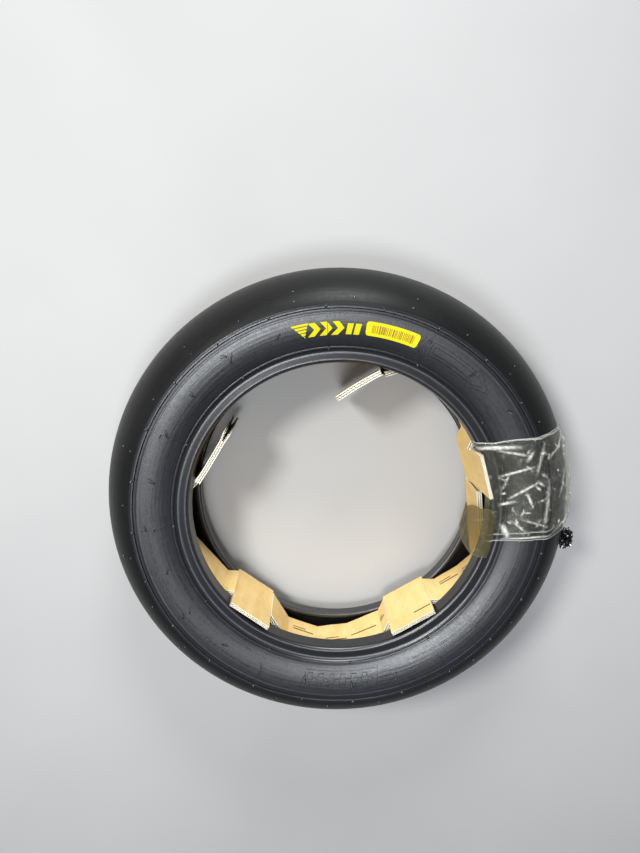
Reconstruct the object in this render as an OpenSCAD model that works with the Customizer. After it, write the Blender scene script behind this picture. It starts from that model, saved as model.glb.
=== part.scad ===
// Slick motorcycle tire for a 12 inch rim, lying on its side, with the carton strip
// that spreads its beads and the film band tied around one side of it.
// Frame: origin at the centre of the tire, +Z along the axle line, millimetres.

/* [Tire] */
// Diameter across the middle of the tread
tire_od = 484.8; // [482:0.2:488]
// Width across the flat tops of the two shoulder ridges
section_w = 114.8; // [114:0.2:116]
// Diameter at the tips of the two bead toes
toe_d = 303.4; // [303:0.1:303.8]
// Rubber and cord thickness at the middle of the tread
crown_t = 9.0; // [8.6:0.1:9.6]
// Diameter of the steel wire in the bead bundles
wire_d = 1.0; // [0.8:0.05:1.05]
// Distance between neighbouring bead wires
wire_pitch = 1.1; // [1.08:0.01:1.12]

/* [Carton strip] */
// Thickness of the double-wall board
board_t = 5.2; // [4.6:0.1:5.3]
// Height of the upper edge of the standing tabs
tab_top = 48; // [46:1:52]
// Height of the lower edge of the standing tabs
tab_low = -33; // [-38:1:-30]
// Half height of the narrow links that pass between the beads
link_half = 24.5; // [22:0.5:25.5]
// Length of the free left end
left_len = 62; // [54:1:66]
// Length of the free right end
right_len = 52; // [48:1:56]

/* [Film band] */
// Angle that the film band covers around the tread
film_span = 31; // [28:0.5:33]
// Thickness of the layered film
film_t = 0.6; // [0.4:0.1:0.8]

/* [View] */
// Which part to draw

/* [Hidden] */

$fn = 180;

// ---- section of the tire, upper half, as [radius, height] points ----
tire_r = tire_od / 2;
half_w = section_w / 2;
toe_r = toe_d / 2;

// tread arch: outer and inner ellipse quarters about the same centre
arch_r = 191.2;
arch_a = tire_r - arch_r;
arch_b = half_w + 2.8;
edge_r = 209.5;
edge_phi = acos((edge_r - arch_r) / arch_a);
cavity_a = arch_a - crown_t;
cavity_b = arch_b - 10.7;
cavity_phi = 75;

// side: outer and inner curve, each with a start, a middle pull point and an end
side_out = [[166.4, 45.9], [185, 54.8], [204.8, half_w - 1.4]];
side_in = [[165, 33.5], [182, 48.2], [202.1, half_w - 9.6]];

// shoulder ridge and the thin line above the rim
ridge_in = 205.6;
ridge_out = 209.1;
groove_r = 205.3;
groove_z = half_w - 1.8;
rib_in = 166.9;
rib_out = 168.2;
rib_end_t = 0.065;
rib_z = 47.3;

// thickness shares, outside to inside, at the tread edge and at the middle of the tread
share_edge = [0, 0.50, 0.58, 0.66, 0.74, 0.84, 1];
share_mid = [0, 0.50, 0.64, 0.73, 0.82, 0.91, 1];
gap_share = 0.005;
belt_start = 0.15;
edge_start = 0.001;

// thickness shares of the plies up the side
ply_out = [[0, 0.66], [0.3, 0.58], [1, 0.74]];
ply_in = [[0, 0.80], [1, 0.84]];
turn_out = [[0, 0.30], [0.3, 0.43], [0.4, 0.45]];
turn_in = [[0, 0.44], [0.3, 0.572], [0.4, 0.595]];
turn_end = 0.4;
filler_end = 0.25;
side_step = 0.05;
side_end = 0.95;
tread_steps = 22;

// bead bundle and the layers wrapped around it
bundle_r = 158.8;
bundle_z = 36.4;
bundle_half = 2.3;
leg_r = bundle_r + bundle_half;
ply_wrap = [0.05, 1.15];
chafer_wrap = [1.20, 1.90];
cushion_wrap = 1.95;
chafer_share = [0.19, 0.285];
cushion_share = 0.185;
wires_each_way = 4;

// bead outside shape
toe_in = [toe_r + 2.8, 26.6];
toe_tip = [toe_r, 27.6];
bore_low = [toe_r, 28.5];
heel_c = [toe_r + 5.1, 40.4];
heel_r = 4.2;
valley = [160.8, 43.2];
valley_out = [164.5, 44.6];
inner_bend = [159.5, 29.4];
liner_end_r = leg_r + 0.1;

function mix(a, b, s) = a * (1 - s) + b * s;
function bez(q, t) = q[0] * (1 - t) * (1 - t) + q[1] * 2 * t * (1 - t) + q[2] * t * t;
function rev(ch) = [for (i = [len(ch) - 1 : -1 : 0]) ch[i]];
function flip(ch) = [for (p = ch) [p[0], -p[1]]];
// a chain that ends at mid height, carried on to its mirror image
function whole(ch) = concat(ch, [for (i = [len(ch) - 2 : -1 : 0]) [ch[i][0], -ch[i][1]]]);

// point in the tread arch: u runs from the edge (0) to the middle (1), f from outside to inside
function arch_pt(u, f) = mix(
    [arch_r + arch_a * cos(edge_phi * (1 - u)), arch_b * sin(edge_phi * (1 - u))],
    [arch_r + cavity_a * cos(cavity_phi * (1 - u)), cavity_b * sin(cavity_phi * (1 - u))], f);
// point in the side: t runs from above the rim (0) to the shoulder (1)
function side_pt(t, f) = mix(bez(side_out, t), bez(side_in, t), f);
function share(k, u) = mix(share_edge[k], share_mid[k], u);
function arch_chain(k, u0, extra = 0) =
    [for (i = [0 : tread_steps]) let (u = u0 + (1 - u0) * i / tread_steps)
        arch_pt(u, share(k, u) + extra)];
function side_chain(tab, t0, t1, extra = 0) =
    [for (i = [0 : round((t1 - t0) / side_step)]) let (t = t0 + i * side_step)
        side_pt(t, lookup(t, tab) + extra)];
// path around the bead bundle at distance d, from its outer leg to its inner leg
function wrap(d, r_out, r_in) = let (c = bundle_r - bundle_half,
        zo = bundle_z + bundle_half, zi = bundle_z - bundle_half) concat(
    [[r_out, zo + d]],
    [for (a = [90 : 15 : 180]) [c + d * cos(a), zo + d * sin(a)]],
    [for (a = [180 : 15 : 270]) [c + d * cos(a), zi + d * sin(a)]],
    [[r_in, zi - d]]);

// height of the outer side surface at a radius
function side_t(r) = let (a = side_out[0][0] - 2 * side_out[1][0] + side_out[2][0],
        b = 2 * (side_out[1][0] - side_out[0][0]), c = side_out[0][0] - r)
    (-b + sqrt(b * b - 4 * a * c)) / (2 * a);
function side_z(r) = bez(side_out, side_t(r))[1];

module ring(pts) rotate_extrude() polygon(pts);
module both(up) { if (up) children(); else mirror([0, 0, 1]) children(); }

module band(k, u0, g0 = gap_share, g1 = 0) ring(concat(
    whole(arch_chain(k, u0, g0)), rev(whole(arch_chain(k + 1, u0, -g1)))));

// ---- tread and plies ----
module tread_cap() color([0.10, 0.10, 0.10]) band(0, edge_start, 0, gap_share);
module tread_base() color([0.16, 0.15, 0.14]) band(1, edge_start, 0, gap_share);
module belt_ply_outer() color([0.55, 0.50, 0.38]) band(2, belt_start, 0, gap_share);
module belt_ply_inner() color([0.50, 0.46, 0.36]) band(3, belt_start, 0, gap_share);

module shoulder_wedge(up) both(up) ring(concat(
    [for (i = [0 : 3]) let (u = edge_start + (belt_start - 2 * edge_start) * i / 3)
        arch_pt(u, share(2, u))],
    [for (i = [3 : -1 : 0]) let (u = edge_start + (belt_start - 2 * edge_start) * i / 3)
        arch_pt(u, share(4, u) - gap_share)]));
module shoulder_wedge_upper() color([0.2, 0.2, 0.22]) shoulder_wedge(true);
module shoulder_wedge_lower() color([0.2, 0.2, 0.22]) shoulder_wedge(false);

module carcass_ply() color([0.72, 0.62, 0.42]) ring(concat(
    whole(concat(rev(side_chain(turn_out, 0, turn_end)), wrap(ply_wrap[1], leg_r, leg_r),
        side_chain(ply_in, 0, side_end), arch_chain(5, 0))),
    rev(whole(concat(rev(side_chain(turn_in, 0, turn_end)), wrap(ply_wrap[0], leg_r, leg_r),
        side_chain(ply_out, 0, side_end), arch_chain(4, 0))))));

module inner_liner() color([0.13, 0.13, 0.14]) ring(concat(
    whole(concat([[liner_end_r, bundle_z - bundle_half - chafer_wrap[0]]],
        side_chain(ply_in, 0, side_end, gap_share), arch_chain(5, 0, gap_share))),
    rev(whole(concat([[liner_end_r, mix(inner_bend[1], side_in[0][1],
            (liner_end_r - inner_bend[0]) / (side_in[0][0] - inner_bend[0]))]],
        side_chain([[0, 1], [1, 1]], 0, side_end), arch_chain(6, 0))))));

// ---- sidewalls: rim line, bulged side, vented shoulder ridge ----
vent_count = 12;
vent_start = 4;
vent_w = 0.5;
vent_deep = 0.4;
module sidewall(up) both(up) difference() {
    ring(concat(
        [side_pt(0.004, 0), [rib_in, rib_z], [rib_out, rib_z + 0.2], side_pt(rib_end_t, 0)],
        side_chain([[0, 0], [1, 0]], 0.1, side_end), [side_out[2]],
        [[groove_r, groove_z], [ridge_in, half_w], [ridge_out, half_w],
            arch_pt(0, 0)],
        [arch_pt(0, share(4, 0) - gap_share)],
        rev(side_chain(ply_out, turn_end + side_step, side_end, -gap_share)),
        [side_pt(turn_end + 0.005, lookup(turn_end, ply_out) - gap_share),
            side_pt(turn_end + 0.005, lookup(turn_end, turn_out) - gap_share)],
        rev(side_chain(turn_out, side_step, turn_end, -gap_share)),
        [side_pt(0.004, turn_out[0][1] - gap_share)]));
    for (i = [0 : vent_count - 1]) rotate([0, 0, vent_start + i * 360 / vent_count])
        translate([groove_r - 1, -vent_w / 2, half_w - vent_deep])
            cube([edge_r - groove_r + 2, vent_w, 2]);
}
module sidewall_upper() color([0.14, 0.15, 0.17]) sidewall(true);
module sidewall_lower() color([0.14, 0.15, 0.17]) sidewall(false);

// ---- bead area ----
module rim_cushion(up) both(up) ring(concat(
    [side_pt(0, 0), valley_out, valley],
    [for (a = [90 : 15 : 180]) [heel_c[0] + heel_r * cos(a), heel_c[1] + heel_r * sin(a)]],
    [bore_low, toe_tip, toe_in, inner_bend],
    [[leg_r + 0.05, mix(inner_bend[1], side_in[0][1],
        (leg_r + 0.05 - inner_bend[0]) / (side_in[0][0] - inner_bend[0]))]],
    rev(wrap(cushion_wrap, leg_r, leg_r + 0.05)),
    [side_pt(0, cushion_share)]));
module rim_cushion_upper() color([0.12, 0.13, 0.15]) rim_cushion(true);
module rim_cushion_lower() color([0.12, 0.13, 0.15]) rim_cushion(false);

module chafer(up) both(up) ring(concat(
    [side_pt(0, chafer_share[0])], wrap(chafer_wrap[1], leg_r, leg_r),
    rev(wrap(chafer_wrap[0], leg_r, leg_r)), [side_pt(0, chafer_share[1])]));
module chafer_upper() color([0.45, 0.42, 0.36]) chafer(true);
module chafer_lower() color([0.45, 0.42, 0.36]) chafer(false);

module bead_filler(up) both(up) ring(concat(
    [[leg_r + 0.1, bundle_z + bundle_half - 0.1]],
    side_chain(turn_in, 0, filler_end, gap_share * 2),
    rev(side_chain(ply_out, 0, filler_end, -gap_share * 2)),
    [[leg_r + 0.1, bundle_z - bundle_half + 0.2]]));
module bead_filler_upper() color([0.2, 0.2, 0.2]) bead_filler(true);
module bead_filler_lower() color([0.2, 0.2, 0.2]) bead_filler(false);

module bead_wires(up) both(up) rotate_extrude($fn = 96)
    for (i = [0 : wires_each_way - 1], j = [0 : wires_each_way - 1])
        translate([bundle_r + (i - (wires_each_way - 1) / 2) * wire_pitch,
            bundle_z + (j - (wires_each_way - 1) / 2) * wire_pitch])
            circle(d = wire_d, $fn = 20);
module bead_wires_upper() color([0.75, 0.6, 0.35]) bead_wires(true);
module bead_wires_lower() color([0.75, 0.6, 0.35]) bead_wires(false);

// ---- paint marks and label on the upper side ----
paint_lift = 0.04;
paint_t = 0.12;
label_t = 0.16;
module patch(a0, a1, r0, r1, lift, t) rotate([0, 0, a0]) rotate_extrude(angle = a1 - a0)
    polygon(concat(
        [for (i = [0 : 4]) let (r = mix(r0, r1, i / 4)) [r, side_z(r) + lift]],
        [for (i = [4 : -1 : 0]) let (r = mix(r0, r1, i / 4)) [r, side_z(r) + lift + t]]));

// a plain mark of three bars that get shorter outwards
wing_mid = 96.4;
wing_half = [7.6, 6.0, 4.2];
wing_r = [180, 185.2, 190.2];
wing_h = 3.2;
module wing_mark() color([0.93, 0.80, 0.15]) for (i = [0 : 2])
    patch(wing_mid - wing_half[i], wing_mid + wing_half[i], wing_r[i], wing_r[i] + wing_h,
        paint_lift, paint_t);

spot_mid = 86.4;
spot_half = 1.6;
spot_r = [181.5, 190.5];
module compound_mark() color([0.93, 0.80, 0.15])
    patch(spot_mid - spot_half, spot_mid + spot_half, spot_r[0], spot_r[1], paint_lift, paint_t);

label_a = [67.2, 83.0];
label_r = [181.2, 194.6];
module barcode_label() color([0.95, 0.83, 0.25])
    patch(label_a[0], label_a[1], label_r[0], label_r[1], paint_lift, label_t);

bar_count = 14;
bar_a = [69.3, 81.3];
bar_r = [183.8, 192];
module barcode_bars() color([0.30, 0.20, 0.08]) for (i = [0 : bar_count - 1])
    let (a = mix(bar_a[0], bar_a[1], i / (bar_count - 1)), w = 0.25 + 0.22 * ((i * 5) % 3))
        patch(a - w / 2, a + w / 2, bar_r[0], bar_r[1], paint_lift * 2 + label_t, paint_t / 2);

// ---- carton strip: tabs in the opening, joined by links that pass between the beads ----
function polar(a, r) = [r * cos(a), r * sin(a)];
left_hinge = [-140.7, 30.7];
left_dir = 58.5;
right_hinge = [45.9, 136.0];
right_dir = 211;
right_lean = 9;
// the tab under the film leans back along the tapered bead and stands higher
lean_tab = 4;
lean_tab_low = -24;
lean_tab_top = 56;
lean_tab_more = 1;
// inner face of the strip, from beside the left hinge round to beside the right hinge;
// a short riser beside each tab takes the link out behind the bead toes
tab_ll = [polar(220.5, 146), polar(239.6, 143)];
tab_lr = [polar(292.5, 143), polar(313, 145)];
tab_r = [polar(6.3, 144.2), polar(25, 144.3)];
left_links = [left_hinge, polar(178, 165), polar(197, 168), polar(217, 155.5)];
low_links = [polar(250.2, 163), polar(262.5, 167.5), polar(274.6, 162.5), polar(288.5, 154)];
right_links = [polar(316.6, 155.5), polar(327.3, 166), polar(333.5, 171.5)];
top_links = [polar(28.6, 154.5), polar(44.8, 164.5), polar(62, 165), right_hinge];
long_path = concat(left_links, tab_ll, low_links, tab_lr, right_links, [tab_r[0]]);
short_path = concat([tab_r[1]], top_links);

// offset of the whole path to its outer face, mitred at the creases
function unit(v) = v / norm(v);
function right_of(v) = [v[1], -v[0]];
function seg_n(p, i) = right_of(unit(p[i + 1] - p[i]));
function corner(p, i, t) = i == 0 ? p[0] + seg_n(p, 0) * t
    : i == len(p) - 1 ? p[i] + seg_n(p, i - 1) * t
    : let (a = seg_n(p, i - 1), b = seg_n(p, i), m = unit(a + b)) p[i] + m * t / (m * a);
function outer_face(p, t) = [for (i = [0 : len(p) - 1]) corner(p, i, t)];
function part_of(p, first, last) = let (o = outer_face(p, board_t)) concat(
    [for (i = [first : last]) p[i]], [for (i = [last : -1 : first]) o[i]]);

module board(p, first, last, low, top) translate([0, 0, low])
    linear_extrude(height = top - low) polygon(part_of(p, first, last));
module leaning_tab(a, b, low, top, lean, more) let (v = b - a, n = norm(v))
    translate([a[0], a[1], 0]) rotate([0, 0, atan2(v[1], v[0])]) rotate([lean, 0, 0])
        translate([-more, -board_t, low]) cube([n + 2 * more, board_t, top - low]);
tab_ll_at = 4;
tab_lr_at = 10;
module spreader_strip() color([0.85, 0.72, 0.50]) {
    board(long_path, 0, len(long_path) - 1, -link_half, link_half);
    board(long_path, tab_ll_at, tab_ll_at + 1, tab_low, tab_top);
    board(long_path, tab_lr_at, tab_lr_at + 1, tab_low, tab_top - 1);
    leaning_tab(tab_r[0], tab_r[1], lean_tab_low, lean_tab_top, lean_tab, lean_tab_more);
    board(short_path, 0, len(short_path) - 1, -link_half, link_half);
}

// free ends, creased to the strip; the crease lies on the inner face
crease_gap = 2.2;
split_len = 12;
split_w = 1.6;
module spreader_flap_left() color([0.88, 0.76, 0.54])
    translate([left_hinge[0], left_hinge[1], 0]) rotate([0, 0, left_dir]) difference() {
        translate([crease_gap, 0, tab_low]) cube([left_len - crease_gap, board_t, tab_top - tab_low]);
        translate([left_len - split_len, (board_t - split_w) / 2, tab_low - 1])
            cube([split_len + 1, split_w, tab_top - tab_low + 2]);
    }
module spreader_flap_right() color([0.88, 0.76, 0.54])
    translate([right_hinge[0], right_hinge[1], 0]) rotate([0, 0, right_dir])
        rotate([right_lean, 0, 0]) translate([crease_gap, -board_t, tab_low])
            cube([right_len - crease_gap, board_t, tab_top - tab_low]);

// ---- film band: round the outside of the tire, then across the opening ----
film_start = -8;
film_off = 0.45;
film_in = [-20, 4];
film_in_r = 142.4;
film_lap = 1.2;
function film_chain(d) = concat(
    [[toe_r + 1.2, heel_c[1] + heel_r + 0.9 + d], [valley[0], valley[1] + 2.6 + d],
        [rib_in - 0.4, rib_z + film_lap + d], [rib_out, rib_z + film_lap + d]],
    [for (t = [0.15 : 0.1 : 0.96]) side_pt(t, 0) + [0, film_lap + d]],
    [[ridge_in - 0.5, half_w + film_off + d], [ridge_out + 0.6, half_w + film_off + d]],
    [for (i = [0 : 14]) let (p = (edge_phi - 3) * (1 - i / 14))
        [arch_r + (arch_a + film_off + d) * cos(p), (arch_b + film_off + d) * sin(p)]]);
module film_wrap() color([0.85, 0.87, 0.80, 0.5]) {
    for (up = [true, false]) both(up) rotate([0, 0, film_start]) rotate_extrude(angle = film_span)
        polygon(concat(film_chain(film_t), rev(film_chain(0))));
    rotate([0, 0, film_in[0]]) rotate_extrude(angle = film_in[1] - film_in[0]) union() {
        translate([film_in_r - film_t, -heel_c[1] - heel_r - film_t - 0.9])
            square([film_t, 2 * (heel_c[1] + heel_r + film_t + 0.9)]);
        for (s = [-1, 1]) translate([film_in_r - film_t, s > 0 ? heel_c[1] + heel_r + 0.9
                : -heel_c[1] - heel_r - film_t - 0.9])
            square([toe_r + 2 - film_in_r, film_t]);
    }
}

knot_a = 351;
knot_r = 246.6;
knot_z = 20;
lump_r = 5;
module film_knot() color([0.06, 0.06, 0.06]) {
    rotate([0, 0, knot_a]) translate([knot_r, 0, knot_z]) {
        sphere(r = lump_r, $fn = 40);
        translate([0.6, -5.5, 2.4]) sphere(r = lump_r * 0.8, $fn = 40);
        translate([0.4, 5.2, -2.2]) sphere(r = lump_r * 0.85, $fn = 40);
        translate([-1.6, -2, 6.6]) sphere(r = lump_r * 0.62, $fn = 40);
    }
}

tread_cap();
tread_base();
belt_ply_outer();
belt_ply_inner();
shoulder_wedge_upper();
shoulder_wedge_lower();
carcass_ply();
inner_liner();
sidewall_upper();
sidewall_lower();
rim_cushion_upper();
rim_cushion_lower();
chafer_upper();
chafer_lower();
bead_filler_upper();
bead_filler_lower();
bead_wires_upper();
bead_wires_lower();
wing_mark();
compound_mark();
barcode_label();
barcode_bars();
spreader_strip();
spreader_flap_left();
spreader_flap_right();
film_wrap();
film_knot();
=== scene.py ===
"""Looks for the slick motorcycle tire: moulded rubber, corrugated strip, crinkled film, paint marks."""

import math

import bmesh
import bpy
import numpy as np
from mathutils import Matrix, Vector, noise


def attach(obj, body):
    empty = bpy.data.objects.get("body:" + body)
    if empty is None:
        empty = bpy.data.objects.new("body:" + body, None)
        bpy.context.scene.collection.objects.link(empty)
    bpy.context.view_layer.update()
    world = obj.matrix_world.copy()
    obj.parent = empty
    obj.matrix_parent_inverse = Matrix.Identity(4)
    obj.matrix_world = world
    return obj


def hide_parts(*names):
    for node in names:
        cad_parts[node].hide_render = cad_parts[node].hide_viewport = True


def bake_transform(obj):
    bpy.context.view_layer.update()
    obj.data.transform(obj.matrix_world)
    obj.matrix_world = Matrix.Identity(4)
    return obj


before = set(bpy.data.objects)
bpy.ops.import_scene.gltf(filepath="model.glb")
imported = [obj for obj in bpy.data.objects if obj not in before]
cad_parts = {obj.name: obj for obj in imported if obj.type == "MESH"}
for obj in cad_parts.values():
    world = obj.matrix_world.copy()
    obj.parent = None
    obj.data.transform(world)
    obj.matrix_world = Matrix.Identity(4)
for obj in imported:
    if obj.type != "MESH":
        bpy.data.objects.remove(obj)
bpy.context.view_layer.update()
MM = 0.001
rng = np.random.default_rng(12)
scene = bpy.context.scene

# ---------------------------------------------------------------- section, in mm, as in the CAD
ARCH_R, ARCH_A, ARCH_B, CROWN_T = 191.2, 51.2, 60.2, 9.0
EDGE_R = 209.5
EDGE_PHI = math.acos((EDGE_R - ARCH_R) / ARCH_A)
SIDE_OUT = np.array([[166.4, 45.9], [185, 54.8], [204.8, 56.0]])
SIDE_IN = np.array([[165, 33.5], [182, 48.2], [202.1, 47.8]])
BOARD_T = 5.2
FILM_Z = 58.45


def arch(u, f):
    p, q = EDGE_PHI * (1 - u), math.radians(75) * (1 - u)
    a = np.array([ARCH_R + ARCH_A * math.cos(p), ARCH_B * math.sin(p)])
    b = np.array([ARCH_R + (ARCH_A - CROWN_T) * math.cos(q), (ARCH_B - 10.7) * math.sin(q)])
    return a * (1 - f) + b * f


def bez(q, t):
    return q[0] * (1 - t) ** 2 + q[1] * 2 * t * (1 - t) + q[2] * t * t


def side(t, f):
    return bez(SIDE_OUT, t) * (1 - f) + bez(SIDE_IN, t) * f


def side_t(r):
    a = SIDE_OUT[0][0] - 2 * SIDE_OUT[1][0] + SIDE_OUT[2][0]
    b = 2 * (SIDE_OUT[1][0] - SIDE_OUT[0][0])
    c = SIDE_OUT[0][0] - np.asarray(r, float)
    return (-b + np.sqrt(b * b - 4 * a * c)) / (2 * a)


def side_z(r):
    t = side_t(r)
    return SIDE_OUT[0][1] * (1 - t) ** 2 + SIDE_OUT[1][1] * 2 * t * (1 - t) + SIDE_OUT[2][1] * t * t


def smooth(x, a, b):
    t = np.clip((np.asarray(x, float) - a) / (b - a), 0, 1)
    return t * t * (3 - 2 * t)


# ---------------------------------------------------------------- mesh helpers
def piece(name, verts, faces, mats, body="tire", slot=None, replaces=(), angle=32, face_mat=None, soft=True,
          outside=False):
    mesh = bpy.data.meshes.new(name)
    mesh.from_pydata((np.asarray(verts, float) * MM).tolist(), [], [list(map(int, f)) for f in faces])
    for m in mats if isinstance(mats, (list, tuple)) else [mats]:
        mesh.materials.append(m)
    if face_mat is not None:
        mesh.polygons.foreach_set("material_index", np.asarray(face_mat, np.int32))
    if outside:
        bm = bmesh.new()
        bm.from_mesh(mesh)
        bmesh.ops.recalc_face_normals(bm, faces=bm.faces)
        bm.to_mesh(mesh)
        bm.free()
    mesh.polygons.foreach_set("use_smooth", np.full(len(mesh.polygons), soft))
    if soft and angle:
        mesh.set_sharp_from_angle(angle=math.radians(angle))
    mesh.update()
    o = bpy.data.objects.new(name, mesh)
    scene.collection.objects.link(o)
    if body:
        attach(o, body)
    if replaces:
        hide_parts(*replaces)
    return o


class Pile:
    """Collects many small closed solids into one mesh."""

    def __init__(self):
        self.v, self.f, self.m, self.n = [], [], [], 0

    def add(self, verts, faces, mat=0):
        verts = np.asarray(verts, float)
        self.v.append(verts)
        self.f += [[i + self.n for i in f] for f in faces]
        self.m += list(mat) if hasattr(mat, "__len__") else [mat] * len(faces)
        self.n += len(verts)

    def make(self, name, mats, **kw):
        return piece(name, np.concatenate(self.v), self.f, mats, face_mat=self.m, outside=True, **kw)


def revolve(section, thetas, dz=None):
    """A closed section swept right round; dz(theta, r, z) may shift each section point in height."""
    sec = np.asarray(section, float)
    n, m = len(sec), len(thetas)
    th = np.asarray(thetas)
    z = np.repeat(sec[None, :, 1], m, 0)
    if dz is not None:
        z = z + dz(th[:, None], sec[None, :, 0], sec[None, :, 1])
    r = np.repeat(sec[None, :, 0], m, 0)
    v = np.stack([r * np.cos(th)[:, None], r * np.sin(th)[:, None], z], -1).reshape(-1, 3)
    i, j = np.meshgrid(np.arange(m), np.arange(n), indexing="ij")
    i2, j2 = (i + 1) % m, (j + 1) % n
    f = np.stack([i * n + j, i2 * n + j, i2 * n + j2, i * n + j2], -1).reshape(-1, 4)
    return v, f


def area_sign(sec):
    x, y = np.asarray(sec, float).T
    return np.sign(np.sum(x * np.roll(y, -1) - np.roll(x, -1) * y))


def ccw(sec):
    return sec if area_sign(sec) > 0 else sec[::-1]


def on_side(az, r, h=0.0, up=1):
    """A point on the side surface at azimuth az (degrees), radius r, raised by h along the normal."""
    az, r, h = np.radians(np.asarray(az, float)), np.asarray(r, float), np.asarray(h, float)
    z = side_z(r)
    slope = side_z(r + 0.5) - side_z(r - 0.5)
    k = np.sqrt(1 + slope * slope)
    rr, zz = r - h * slope / k, z + h / k
    return np.stack([rr * np.cos(az), rr * np.sin(az), up * zz], -1)


def grid_faces(n, m, flip=False):
    f = [[i * m + j, (i + 1) * m + j, (i + 1) * m + j + 1, i * m + j + 1]
         for i in range(n - 1) for j in range(m - 1)]
    return [q[::-1] for q in f] if flip else f


def slab_faces(n, m):
    """Faces of two n x m grids, the top one first, closed round the rim."""
    k = n * m
    f = grid_faces(n, m) + [[a + k for a in q[::-1]] for q in grid_faces(n, m)]
    rim = [i * m for i in range(n)] + [(n - 1) * m + j for j in range(1, m)]
    rim += [i * m + m - 1 for i in range(n - 2, -1, -1)] + [j for j in range(m - 2, 0, -1)]
    for a, b in zip(rim, rim[1:] + rim[:1]):
        f.append([b, a, a + k, b + k])
    return f


def plate(pile, az0, r0, quad, high, low=-0.12, up=1, nx=6, ny=3, mat=0, top=1.0, shape=None):
    """A raised plate on the side: quad holds four corners in mm, x along the arc (to the right seen
    from outside with the rim below), y outwards, about the point az0, r0."""
    a, b, c, d = [np.asarray(p, float) for p in quad]
    s, t = np.meshgrid(np.linspace(0, 1, nx), np.linspace(0, 1, ny), indexing="ij")
    if shape is not None:
        t = 0.5 + (t - 0.5) * shape(s)
    s, t = s[..., None], t[..., None]
    mid = (a + b + c + d) / 4
    p = a * (1 - s) * (1 - t) + b * s * (1 - t) + c * s * t + d * (1 - s) * t
    pt = mid + (p - mid) * top
    out = []
    for q, h in ((pt, high), (p, low)):
        r = r0 + q[..., 1]
        out.append(on_side(az0 - np.degrees(q[..., 0] / r0), r, h, up).reshape(-1, 3))
    f = slab_faces(nx, ny)
    if up > 0:
        f = [q[::-1] for q in f]
    pile.add(np.concatenate(out), f, mat)


def ribbon(pile, az0, r0, pts, width, high, up=1, closed=True, mat=0, top=0.62):
    """A raised line on the side that follows pts (mm, x along the arc, y outwards)."""
    pts = [np.asarray(p, float) for p in pts]
    dense = []
    loop = pts + pts[:1] if closed else pts
    for p, q in zip(loop[:-1], loop[1:]):
        n = max(1, int(np.linalg.norm(q - p) / 2.5))
        dense += [p + (q - p) * i / n for i in range(n)]
    if not closed:
        dense.append(loop[-1])
    d = np.array(dense)
    n = len(d)
    nxt, prv = np.roll(d, -1, 0), np.roll(d, 1, 0)
    if not closed:
        nxt[-1], prv[0] = d[-1], d[0]
    tan = nxt - prv
    tan /= np.maximum(np.linalg.norm(tan, axis=1, keepdims=True), 1e-9)
    nor = np.stack([-tan[:, 1], tan[:, 0]], -1)
    rows = []
    for off, h in ((-0.5, -0.1), (-0.5 * top, high), (0.5 * top, high), (0.5, -0.1)):
        q = d + nor * width * off
        rows.append(on_side(az0 - np.degrees(q[:, 0] / r0), r0 + q[:, 1], h, up))
    v = np.stack(rows, 1).reshape(-1, 3)
    f = []
    for i in range(n if closed else n - 1):
        k = (i + 1) % n
        for j in range(4):
            j2 = (j + 1) % 4
            f.append([i * 4 + j, k * 4 + j, k * 4 + j2, i * 4 + j2])
    if not closed:
        f += [[0, 1, 2, 3], [(n - 1) * 4 + 3, (n - 1) * 4 + 2, (n - 1) * 4 + 1, (n - 1) * 4]]
    pile.add(v, f if up < 0 else [q[::-1] for q in f], mat)


def tube(pile, path, radii, sides=7, mat=0):
    """A round closed stalk along a path of 3D points."""
    path = np.asarray(path, float)
    n = len(path)
    tan = np.gradient(path, axis=0)
    tan /= np.linalg.norm(tan, axis=1, keepdims=True)
    ref = np.array([0.3, 0.9, 0.2])
    v = []
    for i in range(n):
        a = np.cross(tan[i], ref)
        a /= np.linalg.norm(a)
        b = np.cross(tan[i], a)
        for k in range(sides):
            w = 2 * math.pi * k / sides
            v.append(path[i] + radii[i] * (a * math.cos(w) + b * math.sin(w)))
    f = [[i * sides + k, i * sides + (k + 1) % sides, (i + 1) * sides + (k + 1) % sides, (i + 1) * sides + k]
         for i in range(n - 1) for k in range(sides)]
    f.append(list(range(sides))[::-1])
    f.append([(n - 1) * sides + k for k in range(sides)])
    pile.add(v, f, mat)


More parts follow.
